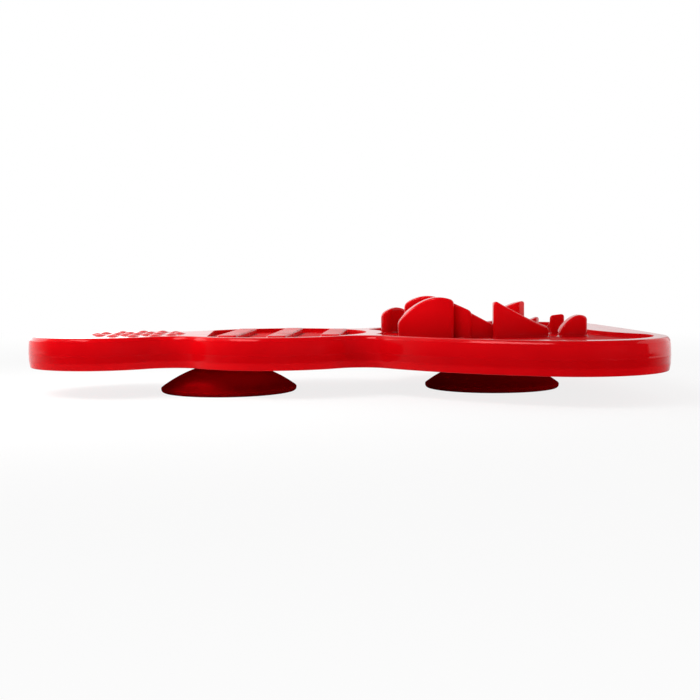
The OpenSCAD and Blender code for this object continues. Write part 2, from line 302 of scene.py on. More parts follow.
class MatPlan:
    """Arcs of the mat's outline and of its two beds, in millimetres."""

    def __init__(self, mat):
        self.half_l = mat.long / MM / 2
        middle_r, neck_r = mat.middle_r / MM, mat.neck_r / MM
        corner_r, side_r, bow = mat.corner_r / MM, mat.side_r / MM, mat.end_bow / MM
        neck = Vector((neck_r - self.half_l, 0))
        middle = Vector((self.along(mat.middle_at), 0))
        corner = Vector((self.half_l - corner_r - bow, mat.wide / MM / 2 - corner_r))
        side = corner - (side_r - corner_r) * polar(mat.side_turn)
        inward = corner.x - self.half_l
        end_r = (corner_r**2 - inward**2 - corner.y**2) / (2 * (inward + corner_r))
        end = Vector((self.half_l - end_r, 0))
        hollow_1, hollow_2 = mat.neck_waist_r / MM, mat.base_waist_r / MM
        waist_1 = beside(neck, neck_r + hollow_1, middle, middle_r + hollow_1)
        waist_2 = beside(middle, middle_r + hollow_2, side, side_r + hollow_2)
        self.outline = (
            Arc(neck, neck_r, math.pi, bearing(neck, waist_1), 1),
            Arc(waist_1, hollow_1, bearing(waist_1, neck), bearing(waist_1, middle), -1),
            Arc(middle, middle_r, bearing(middle, waist_1), bearing(middle, waist_2), 1),
            Arc(waist_2, hollow_2, bearing(waist_2, middle), bearing(waist_2, side), -1),
            Arc(side, side_r, bearing(side, waist_2), mat.side_turn, 1),
            Arc(corner, corner_r, mat.side_turn, bearing(end, corner), 1),
            Arc(end, end_r, bearing(end, corner), 0, 1),
        )
        # The base bed, which ends at a level pad
        lip, nook = mat.base_lip / MM, mat.bed_corner / MM
        ridge = middle_r + mat.bed_ridge / MM
        turn_c = beside(middle, ridge + nook, side, side_r - lip - nook)
        pad_r = mat.end_pad_r / MM
        self.bed_end = self.half_l - mat.end_pad / MM
        pad = Vector((self.bed_end + pad_r, 0))
        turn_e = beside(corner, corner_r - lip - nook, pad, pad_r + nook)
        self.bed_outline = (
            Arc(middle, ridge, 0, bearing(middle, turn_c), -1),
            Arc(turn_c, nook, bearing(turn_c, middle) % (2 * math.pi), bearing(side, turn_c), 1),
            Arc(side, side_r - lip, bearing(side, turn_c), mat.side_turn, 1),
            Arc(corner, corner_r - lip, mat.side_turn, bearing(corner, turn_e), 1),
            Arc(turn_e, nook, bearing(corner, turn_e), bearing(turn_e, pad), 1),
            Arc(pad, pad_r, bearing(pad, turn_e), math.pi, -1),
        )
        # The middle bed, cut straight towards the neck
        bed_r, cut = middle_r - mat.middle_lip / MM, mat.middle_corner / MM
        cut_c = middle + Vector((cut - mat.middle_reach / MM, 0))
        cut_c.y = math.sqrt((bed_r - cut)**2 - (cut_c.x - middle.x)**2)
        self.round_outline = (
            Arc(cut_c, cut, math.pi, bearing(middle, cut_c), 1),
            Arc(middle, bed_r, bearing(middle, cut_c), 0, 1),
        )
        self.round_end = middle.x + bed_r

    def along(self, part):
        """Place along X of a share of the length."""
        return (part - 0.5) * 2 * self.half_l

    @staticmethod
    def half(arcs, end, inset, spacing):
        """Points of half an outline, moved in by an inset, up to its end on the middle line."""
        points = [p for arc in arcs for p in arc.points(inset, spacing)]
        return points + [Vector((end - inset, 0))]

    def rim_loop(self, inset, spacing):
        """The mat's outline moved in by an inset."""
        return mirrored(self.half(self.outline, self.half_l, inset, spacing))

    def bed_loop(self, inset, spacing):
        """The base bed's outline moved in by an inset."""
        return mirrored(self.half(self.bed_outline, self.bed_end, inset, spacing))

    def round_loop(self, inset, spacing):
        """The middle bed's outline moved in by an inset, with a straight side to the neck."""
        half = self.half(self.round_outline, self.round_end, inset, spacing)
        steps = round(half[0].y / spacing)
        straight = [Vector((half[0].x, half[0].y * i / steps)) for i in range(steps)]
        return mirrored(straight + half)


def circle_loop(centre, radius, count):
    """Points of a circle, clockwise."""
    return [centre + radius * polar(-2 * math.pi * i / count) for i in range(count)]


def quarter(steps):
    """Angles of a quarter turn in equal steps."""
    return [math.pi / 2 * i / steps for i in range(steps + 1)]


# Mesh layout

class Shell:
    """Points and faces of one piece, laid out in millimetres, and ranges of faces set apart."""

    # Gap between the rows of a grid of even triangles whose sides are 1
    ROW_GAP = math.sqrt(0.75)
    # Kind of result asked of the triangulation, and how near two points count as one
    ALL_TRIANGLES, SAME_POINT = 0, 1e-7

    def __init__(self):
        self.points, self.faces, self.patches = [], [], []

    def ring(self, loop, heights):
        """Adds a loop of plan points at one height, or at a height for each."""
        if not isinstance(heights, (list, tuple)):
            heights = [heights] * len(loop)
        first = len(self.points)
        self.points += [(p.x, p.y, z) for p, z in zip(loop, heights)]
        return list(range(first, len(self.points)))

    def band(self, one, other):
        """Joins two rings of the same count with four-sided faces."""
        for i in range(len(one)):
            j = (i + 1) % len(one)
            self.faces.append((one[i], one[j], other[j], other[i]))

    def stack(self, rings):
        """Joins rings one after the other and gives back the last."""
        for one, other in zip(rings, rings[1:]):
            self.band(one, other)
        return rings[-1]

    def fill(self, rings, spacing, height, clear=0.75):
        """Fills the first ring, less the others, with triangles over a grid of points.

        The grid keeps clear of the rings by a share of its spacing.
        """
        rim = [i for ring in rings for i in ring]
        flat = [Vector(self.points[i][:2]) for i in rim]
        edges, start = [], 0
        for ring in rings:
            count = len(ring)
            edges += [(start + i, start + (i + 1) % count) for i in range(count)]
            start += count
        tree = KDTree(len(flat))
        for i, p in enumerate(flat):
            tree.insert((p.x, p.y, 0), i)
        tree.balance()
        grid = [p for p in self.grid_over(flat, spacing)
                if tree.find((p.x, p.y, 0))[2] > clear * spacing]
        loops = np.array([[*flat[a], *flat[b]] for a, b in edges])
        grid = [p for p, keep in zip(grid, self.within(grid, loops)) if keep]
        first = len(self.points)
        self.points += [(p.x, p.y, height(p.x, p.y)) for p in grid]
        index = rim + list(range(first, len(self.points)))
        corners, _, faces, origin, _, _ = delaunay_2d_cdt(
            flat + grid, edges, [], self.ALL_TRIANGLES, self.SAME_POINT)
        middles = [sum((corners[i] for i in f), Vector((0, 0))) / 3 for f in faces]
        for face, keep in zip(faces, self.within(middles, loops)):
            if keep:
                self.faces.append(tuple(index[origin[i][0]] for i in face))

    @classmethod
    def grid_over(cls, points, spacing):
        """Staggered rows of points over the box of some others."""
        low = Vector((min(p.x for p in points), min(p.y for p in points)))
        high = Vector((max(p.x for p in points), max(p.y for p in points)))
        row_gap = spacing * cls.ROW_GAP
        rows = int((high.y - low.y) / row_gap)
        for row in range(1, rows + 1):
            x = low.x + spacing * (0.5 if row % 2 else 1)
            while x < high.x:
                yield Vector((x, low.y + row * row_gap))
                x += spacing

    @staticmethod
    def within(points, loops):
        """Whether each point is inside an odd number of loops, given their edges."""
        if not points:
            return []
        xy = np.array([tuple(p) for p in points])
        x, y = xy[:, :1], xy[:, 1:]
        x0, y0, x1, y1 = loops.T
        spans = (y0 > y) != (y1 > y)
        rise = np.where(y1 == y0, 1.0, y1 - y0)
        return (spans & (x < x0 + (y - y0) * (x1 - x0) / rise)).sum(1) % 2 == 1

    def piece(self, name, material, patch_material=None):
        """A smooth object at the origin, in metres, with a second finish on faces set apart."""
        mesh = bpy.data.meshes.new(name)
        mesh.from_pydata([tuple(c * MM for c in p) for p in self.points], [], self.faces)
        if not mesh.polygons:
            raise RuntimeError(f"{name} has no faces")
        face_outwards(mesh)
        mesh.shade_smooth()
        mesh.materials.append(material)
        if patch_material:
            mesh.materials.append(patch_material)
            for first, last in self.patches:
                for face in mesh.polygons[first:last]:
                    face.material_index = 1
        return placed(name, mesh)


def face_outwards(mesh):
    """Drops a closed mesh's loose points and turns its faces outwards."""
    work = bmesh.new()
    work.from_mesh(mesh)
    loose = [v for v in work.verts if not v.link_faces]
    bmesh.ops.delete(work, geom=loose, context="VERTS")
    bmesh.ops.recalc_face_normals(work, faces=work.faces)
    work.to_mesh(mesh)
    work.free()
    mesh.update()


def placed(name, mesh):
    """A new object of a mesh in the scene."""
    piece = bpy.data.objects.new(name, mesh)
    bpy.context.scene.collection.objects.link(piece)
    return piece


# Node trees

class Nodes:
    """Short calls for the nodes of one tree."""

    def __init__(self, tree):
        self.tree = tree

    def plug(self, node, sockets):
        """Links a node's sockets to outputs, or sets them to values."""
        for key, value in sockets.items():
            if isinstance(value, bpy.types.NodeSocket):
                self.tree.links.new(value, node.inputs[key])
            else:
                node.inputs[key].default_value = value

    def add(self, kind, sockets=None, **settings):
        """A new node with settings and sockets of its own."""
        node = self.tree.nodes.new(kind)
        for key, value in settings.items():
            setattr(node, key, value)
        self.plug(node, sockets or {})
        return node

    def node(self, kind, sockets=None, **settings):
        """The first output of a new node."""
        return self.add(kind, sockets, **settings).outputs[0]

    def ranged(self, source, start, end, low, high, **settings):
        """A value drawn out from one range to another."""
        return self.node("ShaderNodeMapRange", {
            "Value": source, "From Min": start, "From Max": end, "To Min": low, "To Max": high,
        }, **settings)


class RubberNodes(Nodes):
    """The nodes of one rubber's material."""

    # The part of a noise's range that is drawn out
    NOISE_RANGE = (0.3, 0.7)

    def __init__(self, name):
        self.material = bpy.data.materials.new(name)
        self.material.use_nodes = True
        super().__init__(self.material.node_tree)
        self.surface = self.tree.nodes["Principled BSDF"]
        self.place = self.add("ShaderNodeTexCoord").outputs["Object"]

    def noise(self, per_metre, detail, roughness=0.5):
        """A noise in the piece's own coordinates, with so many features a metre."""
        return self.node("ShaderNodeTexNoise", {
            "Vector": self.place, "Scale": per_metre, "Detail": detail, "Roughness": roughness,
        })

    def patchy(self, noise, low, high):
        """A noise drawn out to run from one value to another."""
        return self.ranged(noise, *self.NOISE_RANGE, low, high)

    def blend(self, factor, one, other):
        """Two colours mixed by a factor."""
        return self.add("ShaderNodeMix", {"Factor": factor, "A": one, "B": other},
                        data_type="RGBA").outputs["Result"]

    def by_height(self, colour, other, stops):
        """A colour mixed with another by pairs of height in millimetres and share, used to paint
        shade and light by height.
        """
        height = self.add("ShaderNodeSeparateXYZ", {0: self.place}).outputs["Z"]
        low, high = stops[0][0], stops[-1][0]
        ramp = self.add("ShaderNodeValToRGB",
                        {"Fac": self.ranged(height, low * MM, high * MM, 0, 1)})
        elements = ramp.color_ramp.elements
        elements.remove(elements[1])
        for i, (z, part) in enumerate(stops):
            stop = elements.new((z - low) / (high - low)) if i else elements[0]
            stop.color = (part, part, part, 1)
        return self.blend(ramp.outputs["Color"], colour, other)

    def bump(self, source, depth_mm, strength, under=None):
        """A surface normal raised by a height of so many millimetres."""
        sockets = {"Height": source, "Distance": depth_mm * MM, "Strength": strength}
        if under:
            sockets["Normal"] = under
        return self.node("ShaderNodeBump", sockets)


class PieceNodes(Nodes):
    """A geometry node tree with named inputs, built call by call."""

    def __init__(self, name, inputs):
        super().__init__(bpy.data.node_groups.new(name, "GeometryNodeTree"))
        self.values = {}
        face = self.tree.interface
        face.new_socket("Geometry", in_out="OUTPUT", socket_type="NodeSocketGeometry")
        for label, (kind, value) in inputs.items():
            socket = face.new_socket(label, in_out="INPUT", socket_type="NodeSocket" + kind)
            self.values[socket.identifier] = value
        self.given = self.add("NodeGroupInput").outputs

    def math(self, operation, one, other=0.0):
        """A sum on one or two numbers."""
        return self.node("ShaderNodeMath", {0: one, 1: other}, operation=operation)

    def vector(self, x=0.0, y=0.0, z=0.0):
        """Three numbers joined into a vector."""
        return self.node("ShaderNodeCombineXYZ", {"X": x, "Y": y, "Z": z})

    def run(self, name, geometry, material):
        """Ends the tree, runs it on an empty mesh and keeps the result as a plain piece."""
        smooth = self.node("GeometryNodeSetShadeSmooth", {"Geometry": geometry})
        whole = self.node("GeometryNodeRealizeInstances", {"Geometry": smooth})
        dressed = self.node("GeometryNodeSetMaterial", {"Geometry": whole, "Material": material})
        self.add("NodeGroupOutput", {"Geometry": dressed})
        host = placed(name + "_layout", bpy.data.meshes.new(name + "_layout"))
        layout = host.modifiers.new("layout", "NODES")
        layout.node_group = self.tree
        for key, value in self.values.items():
            layout[key] = value
        context = bpy.context
        context.view_layer.update()
        ready = host.evaluated_get(context.evaluated_depsgraph_get())
        mesh = bpy.data.meshes.new_from_object(ready)
        host.modifiers.remove(layout)
        bpy.data.objects.remove(host)
        if not mesh.polygons:
            raise RuntimeError(f"{name} has no faces")
        mesh.name = name
        face_outwards(mesh)
        return placed(name, mesh)


class StageNodes(Nodes):
    """The nodes of the floor or the surround."""

    def __init__(self, owner):
        self.owner = owner
        owner.use_nodes = True
        super().__init__(owner.node_tree)
        self.end = next(n for n in self.tree.nodes if n.type.startswith("OUTPUT"))

    def faded(self, source, start, end, low, high):
        """A value drawn smoothly from one range to another."""
        return self.ranged(source, start, end, low, high, interpolation_type="SMOOTHSTEP")

    def by_ray(self, plain, seen, mirrored):
        """Ends the tree with one look for light, one for the camera and one for reflections."""
        path = self.add("ShaderNodeLightPath").outputs
        direct = self.node("ShaderNodeMath", {
            0: path["Is Camera Ray"], 1: path["Is Transmission Ray"],
        }, operation="MAXIMUM")
        look = self.node("ShaderNodeMixShader", {0: direct, 1: plain, 2: seen})
        look = self.node("ShaderNodeMixShader", {0: path["Is Glossy Ray"], 1: look, 2: mirrored})
        self.plug(self.end, {"Surface": look})


# Materials

# Features a metre, detail and, for the skin, roughness of each noise in the rubbers
COLOUR_DRIFT = (45, 3)
GLOSS_PATCHES = (160, 4)
WALL_WAVER = (90, 2)
MOULDED_SKIN = (2600, 2, 0.6)

# Depth in millimetres and strength of each bump
WAVER_BUMP = (0.1, 0.2)
SKIN_BUMP = (0.01, 0.15)

RUBBER_IOR = 1.5

# How far light runs inside translucent rubber, and the shares of that for red, green and blue
GLOW_REACH = 8 * MM
GLOW_SHARES = (1, 0.05, 0.05)

# Pairs of height and share of the second colour: painted shade along the mat's parting line,
# painted shade at the fins' feet, and painted light on the cups towards the mat, where the mat
# shades them, as the crown's red
MAT_PAINTED_SHADE = ((9.4, 0), (11.3, 0), (12.2, 0.36), (13.8, 0.32), (18, 0))
FIN_PAINTED_SHADE = ((18.5, 0.8), (21, 0.58), (24, 0.34), (28, 0.08), (32.3, 0))
CUP_PAINTED_LIGHT_AND_SHADE = ((0, 0), (3, 0.12), (6, 0.5), (9.4, 1))

# Main, drifting and second colour, where the second paints shade and light, pairs for the
# second, range of roughness, mirror level and translucency of each finish
FINISHES = {
    # The mat's finish has a band of painted shade along the parting line
    "glossy_mat_rubber": ("mat_red", "mat_deep", "mat_shade", MAT_PAINTED_SHADE, (0.07, 0.13), 0.5, 0),
    # The fins' finish is a lighter copy of the mat's rubber, as painted light, with painted shade
    # at the feet
    "glossy_fin_rubber": ("fin_red", "fin_deep", "mat_shade", FIN_PAINTED_SHADE, (0.07, 0.13), 0.5, 0),
    "satin_bar_rubber": ("mat_red", "mat_deep", "mat_shade", MAT_PAINTED_SHADE, (0.22, 0.38), 0.3, 0),
    "matt_bed_rubber": ("mat_red", "mat_deep", "mat_shade", MAT_PAINTED_SHADE, (0.45, 0.6), 0.03, 0),
    # The cups' finish paints light towards the mat and shade at the lip
    "dark_cup_rubber": ("cup_red", "cup_deep", "cup_crown", CUP_PAINTED_LIGHT_AND_SHADE, (0.4, 0.5), 0, 0.8),
}


def opaque(tint):
    """A colour with a full fourth channel."""
    return (*tint, 1)


def rubber(name, main, deep, second, stops, gloss, mirror, glow):
    """Moulded rubber: drifting colour, painted shade and light by height, uneven tinted gloss, a
    faint skin and some glow.
    """
    r = RubberNodes(name)
    drift = r.blend(r.patchy(r.noise(*COLOUR_DRIFT), 0, 1), main, deep)
    waver = r.bump(r.noise(*WALL_WAVER), *WAVER_BUMP)
    r.plug(r.surface, {
        "Base Color": r.by_height(drift, second, stops),
        "Roughness": r.patchy(r.noise(*GLOSS_PATCHES), *gloss),
        "Normal": r.bump(r.noise(*MOULDED_SKIN), *SKIN_BUMP, waver),
        "IOR": RUBBER_IOR,
        "Specular IOR Level": mirror,
        "Specular Tint": opaque(bpy.context.scene.lick_finish.shine),
        "Subsurface Weight": glow,
        "Subsurface Radius": GLOW_SHARES,
        "Subsurface Scale": GLOW_REACH,
    })
    return r.material


def finish_of(kind):
    """The material of one of the finishes, made once."""
    made = bpy.data.materials.get(kind)
    if made:
        return made
    main, deep, second, *sheen = FINISHES[kind]
    tints = bpy.context.scene.lick_finish
    return rubber(kind, *(opaque(getattr(tints, name)) for name in (main, deep, second)), *sheen)


def settle(piece, body, slot, *nodes):
    """Ties a piece to its body and hides the imported nodes it stands for. The slot is not used.
    """
    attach(piece, body)
    if nodes:
        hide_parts(*nodes)


# Operators

class LICKTOY_OT_mat(Operator):
    """Builds the mat: rim, level lip, beds, underside and the two sockets"""

    bl_idname = "licktoy.mat"
    bl_label = "Lick mat body"

    # Lengths are in millimetres. Spacing of points along edges and over level faces
    SPACING, FLOOR_GRID = 1.1, 4.0
    # Inset, as a share of the lower strip's slope, and height round the rim's lower edge
    LOWER_EDGE = ((2.2, 0), (1.8, 0), (1.4, 0.04), (1.12, 0.17), (1, 0.38))
    # Share of the slope that is left at the strip's top, and inset and rise of the edge there
    STRIP_LEFT, STRIP_EDGE = 1 / 6, (-0.01, 0.12)
    # Where rings lie up the strip, up the wall below the parting line and up the wall above it
    STRIP_RINGS = (0.3, 0.65, 0.93)
    LOWER_RINGS = (0.2, 0.5, 0.8, 0.9)
    UPPER_RINGS = (0.07, 0.16, 0.3, 0.45, 0.6, 0.75, 0.9)
    # Half the height of the flash along the parting line
    FLASH_HALF = 0.07
    # Steps round the rim's upper edge, and how near two directions there count as one
    RIM_STEPS, SAME_TURN = 12, 0.01
    # Turn for each millimetre along X and Y, and start, of the waves in the moulded edge
    WAVES = ((0.21, 0, 0.7), (0.093, 0.13, 0), (0.41, -0.07, 2))
    # Rounding of a bed's edge and foot, and steps round each
    BED_EDGE, BED_FOOT, BED_STEPS = 0.25, 0.3, 5
    # Level margin round a bed's edge, inside its foot and inside the rim
    EDGE_MARGIN, FOOT_MARGIN, RIM_MARGIN = 0.3, 0.4, 0.4
    # Chamfer and level margin round a socket, and points round it
    CHAMFER, SOCKET_MARGIN, SOCKET_POINTS = 0.3, 0.2, 64

    def execute(self, context):
        mat = context.scene.lick_mat
        self.plan = MatPlan(mat)
        self.base = mat.underside / MM
        self.top = self.base + mat.thick / MM
        self.floor = self.top - mat.bed_depth / MM
        shell = Shell()
        lowest, highest = self.rim(shell, mat)
        holes = [self.bed(shell, lambda inset: self.plan.bed_loop(inset, self.SPACING))]
        holes.append(self.bed(shell, lambda inset: self.plan.round_loop(inset, self.SPACING)))
        shell.fill([highest] + holes, self.FLOOR_GRID, lambda x, y: self.top)
        sockets = [self.socket(shell, mat, self.plan.along(part))
                   for part in (mat.neck_cup_at, mat.base_cup_at)]
        shell.fill([lowest] + sockets, self.FLOOR_GRID, lambda x, y: self.base)
        piece = shell.piece("lick_mat_body", finish_of("glossy_mat_rubber"),
                            finish_of("matt_bed_rubber"))
        settle(piece, "mat", "mat_rubber", "lick_mat")
        return {"FINISHED"}

    def rim(self, shell, mat):
        """The moulded rim, ring by ring from the underside to the level lip."""
        strip_in, strip_h = mat.strip_in / MM, mat.strip_h / MM
        parting, proud = mat.parting / MM, mat.parting_proud / MM
        draft, fillet = mat.draft / MM, mat.rim_fillet / MM
        wall_top = mat.thick / MM - fillet
        strip_top, strip_low = strip_in * self.STRIP_LEFT, self.LOWER_EDGE[-1][1]
        profile = [(part * strip_in, z) for part, z in self.LOWER_EDGE]
        profile += [(strip_in + (strip_top - strip_in) * s, strip_low + (strip_h - strip_low) * s)
                    for s in self.STRIP_RINGS]
        profile += [(strip_top + self.STRIP_EDGE[0], strip_h + self.STRIP_EDGE[1])]
        profile += [(strip_top * (1 - s), strip_h + (parting - strip_h) * s)
                    for s in self.LOWER_RINGS]
        profile += [(-proud, parting + side * self.FLASH_HALF) for side in (-1, 1)]
        profile += [(draft * s**2, parting + (wall_top - parting) * s)
                    for s in self.UPPER_RINGS]
        rings = [shell.ring(self.plan.rim_loop(inset, self.SPACING), self.base + z)
                 for inset, z in profile]
        waver = mat.rim_waver / MM
        for inset, rise, weight in self.rounding(fillet, mat.rim_flat / MM, mat.flat_turn):
            loop = self.plan.rim_loop(draft + inset, self.SPACING)
            z = self.base + wall_top + rise
            shifts = [waver * weight * self.unevenness(p) for p in loop]
            rings.append(shell.ring(loop, [z + shift for shift in shifts]))
        level = self.plan.rim_loop(draft + fillet + self.RIM_MARGIN, self.SPACING)
        rings.append(shell.ring(level, self.top))
        shell.stack(rings)
        return rings[0], rings[-1]

    def rounding(self, fillet, flat, flat_turn):
        """Inset, rise and share of waver along the rim's rounded edge, which has a small flat."""
        radius = fillet - flat * math.cos(flat_turn)
        across, up = flat * math.sin(flat_turn), flat * math.cos(flat_turn)
        for angle in quarter(self.RIM_STEPS):
            past = 1 if angle > flat_turn + self.SAME_TURN else 0
            inset, rise = radius * (1 - math.cos(angle)), radius * math.sin(angle)
            yield inset + past * across, rise + past * up, math.sin(2 * angle)
            if abs(angle - flat_turn) < self.SAME_TURN:
                yield inset + across, rise + up, math.sin(2 * angle)

    def unevenness(self, p):
        """A gentle waver along the moulded edge, between about -1 and 1."""
        return sum(math.sin(p.x * a + p.y * b + c) for a, b, c in self.WAVES) / len(self.WAVES)

    def bed(self, shell, loop):
        """A shallow bed with a rounded edge and foot. Gives back its ring on the lip."""
        edge, foot = self.BED_EDGE, self.BED_FOOT
        levels = [(-edge - self.EDGE_MARGIN, self.top)]
        levels += [(-edge + edge * math.sin(a), self.top - edge + edge * math.cos(a))
                   for a in quarter(self.BED_STEPS)]
        levels += [(foot - foot * math.cos(a), self.floor + foot - foot * math.sin(a))
                   for a in quarter(self.BED_STEPS)]
        levels += [(foot + self.FOOT_MARGIN, self.floor)]
        rings = [shell.ring(loop(inset), z) for inset, z in levels]
        shell.band(rings[0], rings[1])
        first = len(shell.faces)
        shell.stack(rings[1:])
        shell.fill([rings[-1]], self.FLOOR_GRID, lambda x, y: self.floor)
        shell.patches.append((first, len(shell.faces)))
        return rings[0]

    def socket(self, shell, mat, x):
        """A stepped socket for a plug, open below. Gives back its ring on the underside."""
        centre, hole, room = Vector((x, 0)), mat.socket_w / MM / 2, mat.button_w / MM / 2
        web = self.base + mat.socket_web / MM
        roof = web + mat.button_h / MM
        mouth = hole + self.CHAMFER
        levels = [(mouth + self.SOCKET_MARGIN, self.base), (mouth, self.base),
                  (hole, self.base + self.CHAMFER), (hole, web), (room, web), (room, roof)]
        rings = [shell.ring(circle_loop(centre, radius, self.SOCKET_POINTS), z)
                 for radius, z in levels]
        shell.fill([shell.stack(rings)], self.FLOOR_GRID, lambda x, y: roof)
        return rings[0]


class LICKTOY_OT_fins(Operator):
    """Builds the rosette of curved fins with ramped, rounded tops"""

    bl_idname = "licktoy.fins"
    bl_label = "Fin rosette"

    # Lengths are in millimetres. Spacing of points on a fin and under it, and depth of its foot
    SPACING, FOOT_GRID, SUNK = 0.8, 2.0, 0.25
    # Which rows have fully rounded ends
    ROUND_ENDED = (8,)
    # Where rings lie up a fin's wall
    WALL_RINGS = (0.35, 0.7, 0.93)
    # Steps round the root, the top edge and an upright corner, and across an end
    ROOT_STEPS, EDGE_STEPS, CORNER_STEPS, END_STEPS = 4, 6, 5, 4
    # Fewest steps along a side, and least radius of an upright corner
    LEAST_STEPS, LEAST_CORNER = 8, 0.05
    # Margin inside the top edge, and the share of its spacing that the top's grid keeps clear
    CREST_MARGIN, CREST_CLEAR = 0.35, 0.6

    def execute(self, context):
        mat, fins = context.scene.lick_mat, context.scene.lick_fins
        self.top = (mat.underside + mat.thick) / MM
        self.floor = self.top - mat.bed_depth / MM
        self.centre = Vector(((fins.centre_at - 0.5) * mat.long / MM, 0))
        shell = Shell()
        for number, row in enumerate(FIN_ROWS):
            self.fin(shell, row, fins, number in self.ROUND_ENDED)
        piece = shell.piece("lick_mat_fins", finish_of("glossy_fin_rubber"))
        settle(piece, "mat", "mat_rubber")
        return {"FINISHED"}

    def crest(self, row, p):
        """Height of a fin's top over a plan point measured from the rosette's centre."""
        heading, start, end, low, high, shape = row[5:]
        s = (p.dot(polar(math.radians(heading))) - start) / (end - start)
        s = min(1.0, max(0.0, s))
        lift = 1 - ((s - shape) / shape) ** 2 if shape < 1 else s**shape
        return self.top + low + (high - low) * lift

    def fin(self, shell, row, fins, round_ended):
        """One fin: a curved wall with rounded ends, a filleted root and a ramped top."""
        x, y, radius, start, end = row[:5]
        hub, start, end = Vector((x, y)), math.radians(start), math.radians(end)
        run, half_t = radius * (end - start), fins.thick / MM / 2
        edge, root = fins.edge / MM, fins.root / MM
        corner = half_t - self.LEAST_CORNER if round_ended else fins.corner / MM
        root_levels = [(-root * (1 - math.sin(a)), self.floor + root * (1 - math.cos(a)))
                       for a in quarter(self.ROOT_STEPS)]

        def bent(u, v):
            return hub + (radius + v) * polar(start + u / radius)

        def outline(inset):
            return [bent(u, v) for u, v in self.rounded(run, half_t, inset, corner)]

        def ring(inset, heights):
            loop = outline(inset)
            return shell.ring([p + self.centre for p in loop], [heights(p) for p in loop])

        rings = [ring(-root, lambda p: self.floor - self.SUNK)]
        rings += [ring(inset, lambda p, z=z: z) for inset, z in root_levels]
        foot = self.floor + root
        for part in self.WALL_RINGS:
            rings.append(ring(0, lambda p: foot + (self.crest(row, p) - edge - foot) * part))
        for a in quarter(self.EDGE_STEPS):
            rings.append(ring(edge * (1 - math.cos(a)),
                              lambda p: self.crest(row, p) - edge * (1 - math.sin(a))))
        rings.append(ring(edge + self.CREST_MARGIN, lambda p: self.crest(row, p)))
        last = shell.stack(rings)
        shell.fill([last], self.SPACING,
                   lambda x, y: self.crest(row, Vector((x, y)) - self.centre), self.CREST_CLEAR)
        shell.fill([rings[0]], self.FOOT_GRID, lambda x, y: self.floor - self.SUNK)

    def rounded(self, run, half_t, inset, corner):
        """A straightened fin's outline with rounded corners, moved in by an inset."""
        bend = max(corner - inset, self.LEAST_CORNER)
        u0, u1 = inset + bend, run - inset - bend
        v1 = half_t - inset - bend
        long_steps = max(self.LEAST_STEPS, round(run / self.SPACING))
        sides = ((u1, -v1, -90), (u1, v1, 0), (u0, v1, 90), (u0, -v1, 180))
        points = []
        for k, (u, v, first) in enumerate(sides):
            for i in range(self.CORNER_STEPS + 1):
                a = math.radians(first + 90 * i / self.CORNER_STEPS)
                points.append((u + bend * math.cos(a), v + bend * math.sin(a)))
            next_u, next_v, heading = sides[(k + 1) % len(sides)]
            a = math.radians(heading)
            goal = (next_u + bend * math.cos(a), next_v + bend * math.sin(a))
            steps = long_steps if k % 2 else self.END_STEPS
            last = points[-1]
            points += [(last[0] + (goal[0] - last[0]) * i / steps,
                        last[1] + (goal[1] - last[1]) * i / steps) for i in range(1, steps)]
        return points


